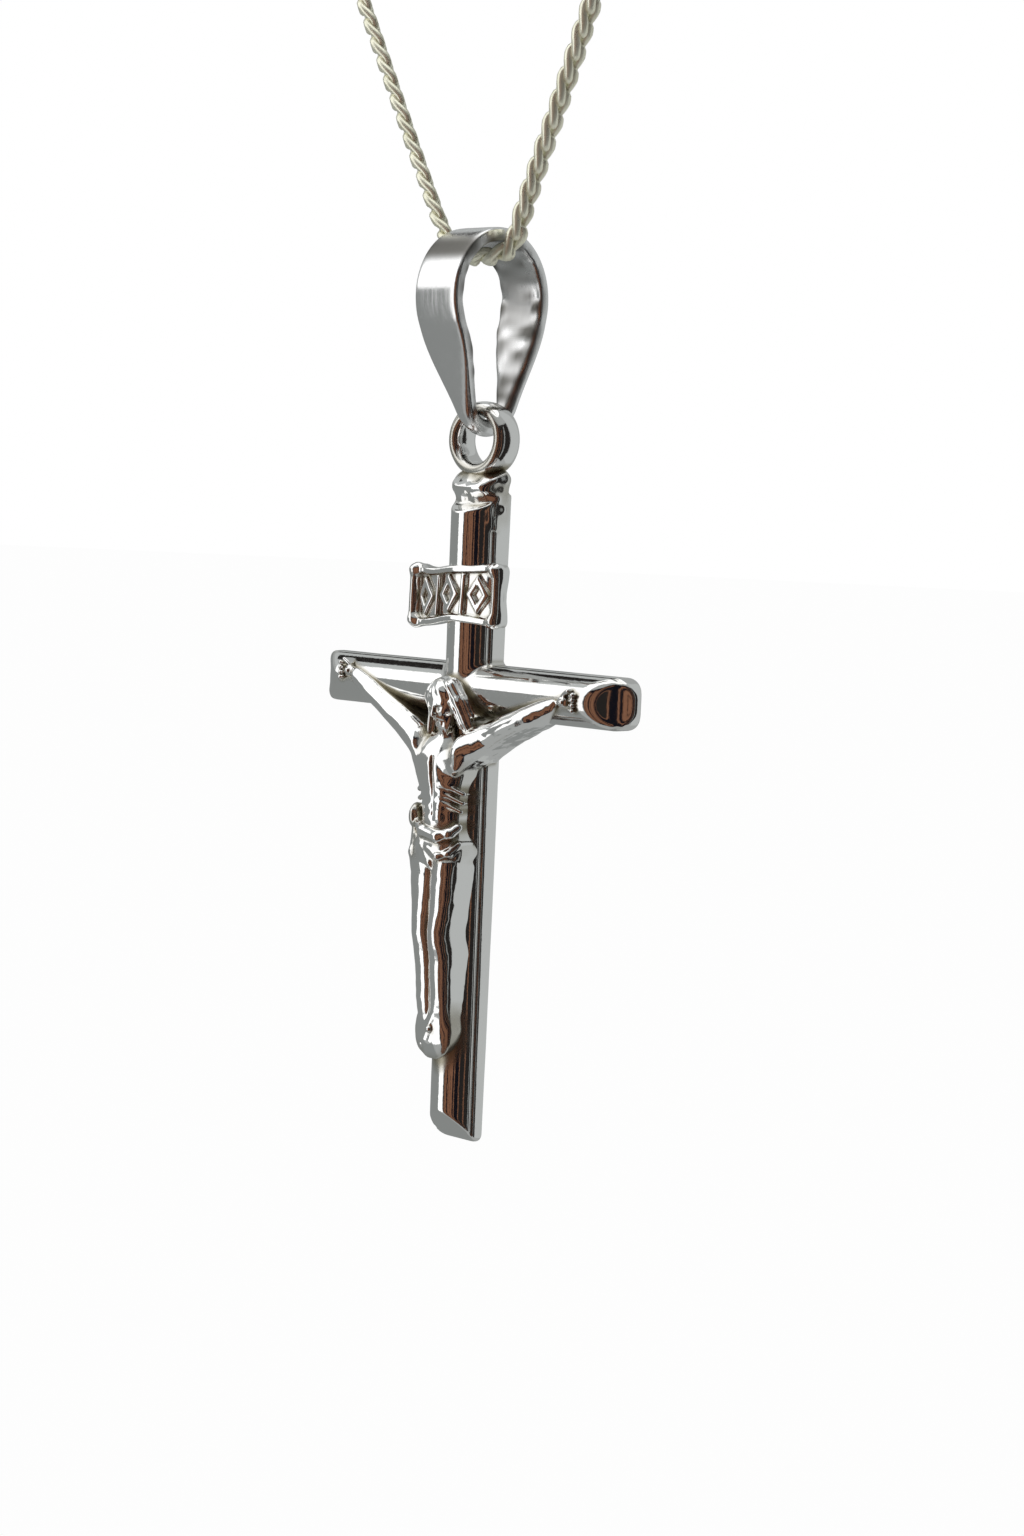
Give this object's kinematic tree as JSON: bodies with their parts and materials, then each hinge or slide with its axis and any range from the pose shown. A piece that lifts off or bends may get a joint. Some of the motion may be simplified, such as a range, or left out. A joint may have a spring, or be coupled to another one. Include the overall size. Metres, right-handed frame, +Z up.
{
  "type": "crucifix pendant",
  "caption": "Polished silver crucifix pendant with half-round beams, a cast figure and title scroll, hanging by an eyelet and teardrop bail from a fine curb chain.",
  "frame": {"origin": "the point that holds the chain up, above the cross's centre line, in the plane of the chain and level with the top of the clasp", "axes": "+Z up along the upright, +X along the crossbar to the viewer's right, +Y from the figure's side to the cross's flat back"},
  "size_m": [0.0236, 0.0068, 0.0656],
  "materials": {
    "polished_silver": "mirror-polished cast sterling silver, greyer in its recesses",
    "satin_silver": "silver strap, outer face brushed lengthwise, edges polished",
    "chain_silver": "bright drawn silver wire with a faint warm tone",
    "spring_steel": "bare spring steel wire"
  },
  "bodies": {
    "chain": {"chain_run": "chain_silver", "tag_jump_ring": "chain_silver", "clasp_jump_ring": "chain_silver"},
    "bail": {"bail": "satin_silver"},
    "cross": {"cross_body": "polished_silver", "cross_eyelet": "polished_silver", "title_scroll": "polished_silver", "corpus": "polished_silver"},
    "tag": {"tag_ring": "chain_silver"},
    "clasp": {"clasp_eye": "chain_silver", "clasp_body": "chain_silver", "clasp_spring": "spring_steel"},
    "trigger": {"clasp_trigger": "chain_silver"}
  },
  "joints": [
    {"name": "bail_swing", "type": "hinge", "parent": "chain", "child": "bail", "pos_m": [0, 0, -0.02165], "axis": [1, 0, 0], "range_deg": [-40, 40]},
    {"name": "cross_swing", "type": "hinge", "parent": "bail", "child": "cross", "pos_m": [0, 0.00057, -0.02988], "axis": [0, 1, 0], "range_deg": [-35, 35]},
    {"name": "tag_swing", "type": "hinge", "parent": "chain", "child": "tag", "pos_m": [-0.01059, 0, -0.0059], "axis": [-0.8823, 0, -0.4707], "range_deg": [-60, 60]},
    {"name": "clasp_swing", "type": "hinge", "parent": "chain", "child": "clasp", "pos_m": [0.00724, 0, -0.007], "axis": [0.9344, 0, -0.3563], "range_deg": [-60, 60]},
    {"name": "trigger_pull", "type": "hinge", "parent": "clasp", "child": "trigger", "pos_m": [0.00881, 0, -0.00286], "axis": [0, 1, 0], "range_deg": [0, 34], "stiffness_Nm_per_rad": 0.003, "springref_deg": -17.19}
  ]
}
